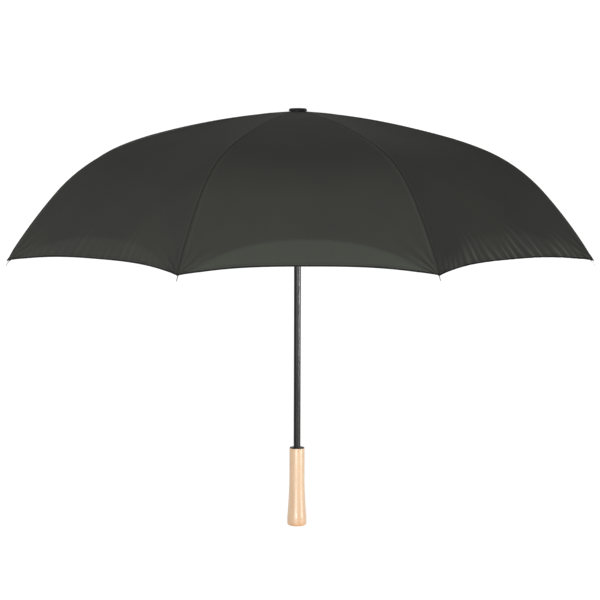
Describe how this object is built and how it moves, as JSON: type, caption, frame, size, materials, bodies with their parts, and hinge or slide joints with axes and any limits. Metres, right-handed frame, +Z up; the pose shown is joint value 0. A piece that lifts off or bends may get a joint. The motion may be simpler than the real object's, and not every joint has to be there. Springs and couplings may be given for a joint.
{
  "type": "golf umbrella",
  "caption": "Open golf umbrella: domed dark cloth canopy over folding ribs and stretchers, sliding runner, slim tube shaft and straight flared wooden handle.",
  "frame": {"origin": "centre of the handle's flat end", "axes": "+Z up the shaft to the cap; -Y faces the middle of one canopy panel"},
  "size_m": [1.1132, 1.1132, 0.836],
  "materials": {
    "canopy_fabric": "plain woven polyester, faint sheen",
    "hem_binding": "narrow woven binding and thread",
    "shaft_metal": "black satin",
    "rib_fibreglass": "pultruded glass fibre rod",
    "black_plastic": "moulded, fine texture",
    "steel": "bright drawn",
    "seal_rubber": "matt",
    "handle_wood": "clear satin lacquer"
  },
  "bodies": {
    "frame": {"shaft_tube": "shaft_metal", "shaft_end_plug": "steel", "cap_stud": "steel", "cap_seal": "seal_rubber", "top_cap": "black_plastic", "top_notch": "black_plastic", "notch_ring_wire": "steel", "notch_pin": "steel", "top_stop_pin": "steel", "catch_leaf": "steel", "handle_grip": "handle_wood", "handle_collar": "black_plastic", "handle_insert": "steel", "handle_screw": "steel", "handle_end_button": "black_plastic"},
    "catch": {"shaft_catch": "steel"},
    "runner": {"runner_body": "black_plastic", "runner_ring_wire": "steel"},
    "button": {"release_button": "black_plastic"},
    "rib_inner_1": {"rib_inner_1": "rib_fibreglass", "canopy_top_1": "canopy_fabric"},
    "rib_outer_1": {"rib_outer_1": "rib_fibreglass", "canopy_hem_1": "canopy_fabric"},
    "stretcher_1": {"stretcher_1": "rib_fibreglass"},
    "rib_inner_2": {"rib_inner_2": "rib_fibreglass", "canopy_top_2": "canopy_fabric"},
    "rib_outer_2": {"rib_outer_2": "rib_fibreglass", "canopy_hem_2": "canopy_fabric"},
    "stretcher_2": {"stretcher_2": "rib_fibreglass"},
    "rib_inner_3": {"rib_inner_3": "rib_fibreglass", "canopy_top_3": "canopy_fabric"},
    "rib_outer_3": {"rib_outer_3": "rib_fibreglass", "canopy_hem_3": "canopy_fabric"},
    "stretcher_3": {"stretcher_3": "rib_fibreglass"},
    "rib_inner_4": {"rib_inner_4": "rib_fibreglass", "canopy_top_4": "canopy_fabric"},
    "rib_outer_4": {"rib_outer_4": "rib_fibreglass", "canopy_hem_4": "canopy_fabric"},
    "stretcher_4": {"stretcher_4": "rib_fibreglass"},
    "rib_inner_5": {"rib_inner_5": "rib_fibreglass", "canopy_top_5": "canopy_fabric"},
    "rib_outer_5": {"rib_outer_5": "rib_fibreglass", "canopy_hem_5": "canopy_fabric", "tie_strap": "canopy_fabric"},
    "stretcher_5": {"stretcher_5": "rib_fibreglass"},
    "rib_inner_6": {"rib_inner_6": "rib_fibreglass", "canopy_top_6": "canopy_fabric"},
    "rib_outer_6": {"rib_outer_6": "rib_fibreglass", "canopy_hem_6": "canopy_fabric"},
    "stretcher_6": {"stretcher_6": "rib_fibreglass"},
    "rib_inner_7": {"rib_inner_7": "rib_fibreglass", "canopy_top_7": "canopy_fabric"},
    "rib_outer_7": {"rib_outer_7": "rib_fibreglass", "canopy_hem_7": "canopy_fabric"},
    "stretcher_7": {"stretcher_7": "rib_fibreglass"},
    "rib_inner_8": {"rib_inner_8": "rib_fibreglass", "canopy_top_8": "canopy_fabric"},
    "rib_outer_8": {"rib_outer_8": "rib_fibreglass", "canopy_hem_8": "canopy_fabric"},
    "stretcher_8": {"stretcher_8": "rib_fibreglass"}
  },
  "joints": [
    {"name": "canopy_fold", "type": "hinge", "parent": "frame", "child": "rib_inner_1", "pos_m": [0.00574, -0.01386, 0.82571], "axis": [0.9239, 0.3827, 0], "range_deg": [0, 72.12], "deforming": ["canopy_top_1", "canopy_top_2", "canopy_top_3", "canopy_top_4", "canopy_top_5", "canopy_top_6", "canopy_top_7", "canopy_top_8", "canopy_hem_1", "canopy_hem_2", "canopy_hem_3", "canopy_hem_4", "canopy_hem_5", "canopy_hem_6", "canopy_hem_7", "canopy_hem_8", "tie_strap"]},
    {"name": "rib_2_fold", "type": "hinge", "parent": "frame", "child": "rib_inner_2", "pos_m": [0.01386, -0.00574, 0.82571], "axis": [0.3827, 0.9239, 0], "range_deg": [0, 72.17]},
    {"name": "rib_3_fold", "type": "hinge", "parent": "frame", "child": "rib_inner_3", "pos_m": [0.01386, 0.00574, 0.82571], "axis": [-0.3827, 0.9239, 0], "range_deg": [0, 72.17]},
    {"name": "rib_4_fold", "type": "hinge", "parent": "frame", "child": "rib_inner_4", "pos_m": [0.00574, 0.01386, 0.82571], "axis": [-0.9239, 0.3827, 0], "range_deg": [0, 72.17]},
    {"name": "rib_5_fold", "type": "hinge", "parent": "frame", "child": "rib_inner_5", "pos_m": [-0.00574, 0.01386, 0.82571], "axis": [-0.9239, -0.3827, 0], "range_deg": [0, 72.17]},
    {"name": "rib_6_fold", "type": "hinge", "parent": "frame", "child": "rib_inner_6", "pos_m": [-0.01386, 0.00574, 0.82571], "axis": [-0.3827, -0.9239, 0], "range_deg": [0, 72.17]},
    {"name": "rib_7_fold", "type": "hinge", "parent": "frame", "child": "rib_inner_7", "pos_m": [-0.01386, -0.00574, 0.82571], "axis": [0.3827, -0.9239, 0], "range_deg": [0, 72.17]},
    {"name": "rib_8_fold", "type": "hinge", "parent": "frame", "child": "rib_inner_8", "pos_m": [-0.00574, -0.01386, 0.82571], "axis": [0.9239, -0.3827, 0], "range_deg": [0, 72.17]},
    {"name": "stretcher_1_fold", "type": "hinge", "parent": "rib_inner_1", "child": "stretcher_1", "pos_m": [0.11486, -0.2773, 0.77091], "axis": [0.9239, 0.3827, 0], "range_deg": [-144.34, 0]},
    {"name": "rib_1_flex", "type": "hinge", "parent": "rib_inner_1", "child": "rib_outer_1", "pos_m": [0.16456, -0.39728, 0.73114], "axis": [0.9239, 0.3827, 0], "range_deg": [-25.29, 0]},
    {"name": "stretcher_2_fold", "type": "hinge", "parent": "rib_inner_2", "child": "stretcher_2", "pos_m": [0.2773, -0.11486, 0.77091], "axis": [0.3827, 0.9239, 0], "range_deg": [-144.34, 0]},
    {"name": "rib_2_flex", "type": "hinge", "parent": "rib_inner_2", "child": "rib_outer_2", "pos_m": [0.39728, -0.16456, 0.73114], "axis": [0.3827, 0.9239, 0], "range_deg": [-25.29, 0]},
    {"name": "stretcher_3_fold", "type": "hinge", "parent": "rib_inner_3", "child": "stretcher_3", "pos_m": [0.2773, 0.11486, 0.77091], "axis": [-0.3827, 0.9239, 0], "range_deg": [-144.34, 0]},
    {"name": "rib_3_flex", "type": "hinge", "parent": "rib_inner_3", "child": "rib_outer_3", "pos_m": [0.39728, 0.16456, 0.73114], "axis": [-0.3827, 0.9239, 0], "range_deg": [-25.29, 0]},
    {"name": "stretcher_4_fold", "type": "hinge", "parent": "rib_inner_4", "child": "stretcher_4", "pos_m": [0.11486, 0.2773, 0.77091], "axis": [-0.9239, 0.3827, 0], "range_deg": [-144.34, 0]},
    {"name": "rib_4_flex", "type": "hinge", "parent": "rib_inner_4", "child": "rib_outer_4", "pos_m": [0.16456, 0.39728, 0.73114], "axis": [-0.9239, 0.3827, 0], "range_deg": [-25.29, 0]},
    {"name": "stretcher_5_fold", "type": "hinge", "parent": "rib_inner_5", "child": "stretcher_5", "pos_m": [-0.11486, 0.2773, 0.77091], "axis": [-0.9239, -0.3827, 0], "range_deg": [-144.34, 0]},
    {"name": "rib_5_flex", "type": "hinge", "parent": "rib_inner_5", "child": "rib_outer_5", "pos_m": [-0.16456, 0.39728, 0.73114], "axis": [-0.9239, -0.3827, 0], "range_deg": [-25.29, 0]},
    {"name": "stretcher_6_fold", "type": "hinge", "parent": "rib_inner_6", "child": "stretcher_6", "pos_m": [-0.2773, 0.11486, 0.77091], "axis": [-0.3827, -0.9239, 0], "range_deg": [-144.34, 0]},
    {"name": "rib_6_flex", "type": "hinge", "parent": "rib_inner_6", "child": "rib_outer_6", "pos_m": [-0.39728, 0.16456, 0.73114], "axis": [-0.3827, -0.9239, 0], "range_deg": [-25.29, 0]},
    {"name": "stretcher_7_fold", "type": "hinge", "parent": "rib_inner_7", "child": "stretcher_7", "pos_m": [-0.2773, -0.11486, 0.77091], "axis": [0.3827, -0.9239, 0], "range_deg": [-144.34, 0]},
    {"name": "rib_7_flex", "type": "hinge", "parent": "rib_inner_7", "child": "rib_outer_7", "pos_m": [-0.39728, -0.16456, 0.73114], "axis": [0.3827, -0.9239, 0], "range_deg": [-25.29, 0]},
    {"name": "stretcher_8_fold", "type": "hinge", "parent": "rib_inner_8", "child": "stretcher_8", "pos_m": [-0.11486, -0.2773, 0.77091], "axis": [0.9239, -0.3827, 0], "range_deg": [-144.34, 0]},
    {"name": "rib_8_flex", "type": "hinge", "parent": "rib_inner_8", "child": "rib_outer_8", "pos_m": [-0.16456, -0.39728, 0.73114], "axis": [0.9239, -0.3827, 0], "range_deg": [-25.29, 0]},
    {"name": "runner_swing", "type": "hinge", "parent": "stretcher_1", "child": "runner", "pos_m": [0.00574, -0.01386, 0.7161], "axis": [0.9239, 0.3827, 0], "range_deg": [0, 72.17]},
    {"name": "button_press", "type": "slide", "parent": "runner", "child": "button", "axis": [0, 1, 0], "range_m": [0, 0.003], "stiffness_N_per_m": 600, "springref_m": -0.002},
    {"name": "catch_press", "type": "slide", "parent": "frame", "child": "catch", "axis": [0, 1, 0], "range_m": [0, 0.00305], "deforming": ["catch_leaf"]}
  ],
  "couplings": [
    {"joint": "rib_2_fold", "follows": "canopy_fold", "ratio": 1},
    {"joint": "rib_3_fold", "follows": "canopy_fold", "ratio": 1},
    {"joint": "rib_4_fold", "follows": "canopy_fold", "ratio": 1},
    {"joint": "rib_5_fold", "follows": "canopy_fold", "ratio": 1},
    {"joint": "rib_6_fold", "follows": "canopy_fold", "ratio": 1},
    {"joint": "rib_7_fold", "follows": "canopy_fold", "ratio": 1},
    {"joint": "rib_8_fold", "follows": "canopy_fold", "ratio": 1},
    {"joint": "stretcher_1_fold", "follows": "canopy_fold", "ratio": -2},
    {"joint": "rib_1_flex", "follows": "canopy_fold", "ratio": -0.35},
    {"joint": "stretcher_2_fold", "follows": "canopy_fold", "ratio": -2},
    {"joint": "rib_2_flex", "follows": "canopy_fold", "ratio": -0.35},
    {"joint": "stretcher_3_fold", "follows": "canopy_fold", "ratio": -2},
    {"joint": "rib_3_flex", "follows": "canopy_fold", "ratio": -0.35},
    {"joint": "stretcher_4_fold", "follows": "canopy_fold", "ratio": -2},
    {"joint": "rib_4_flex", "follows": "canopy_fold", "ratio": -0.35},
    {"joint": "stretcher_5_fold", "follows": "canopy_fold", "ratio": -2},
    {"joint": "rib_5_flex", "follows": "canopy_fold", "ratio": -0.35},
    {"joint": "stretcher_6_fold", "follows": "canopy_fold", "ratio": -2},
    {"joint": "rib_6_flex", "follows": "canopy_fold", "ratio": -0.35},
    {"joint": "stretcher_7_fold", "follows": "canopy_fold", "ratio": -2},
    {"joint": "rib_7_flex", "follows": "canopy_fold", "ratio": -0.35},
    {"joint": "stretcher_8_fold", "follows": "canopy_fold", "ratio": -2},
    {"joint": "rib_8_flex", "follows": "canopy_fold", "ratio": -0.35},
    {"joint": "runner_swing", "follows": "canopy_fold", "ratio": 1},
    {"joint": "catch_press", "follows": "button_press", "ratio": 1}
  ]
}
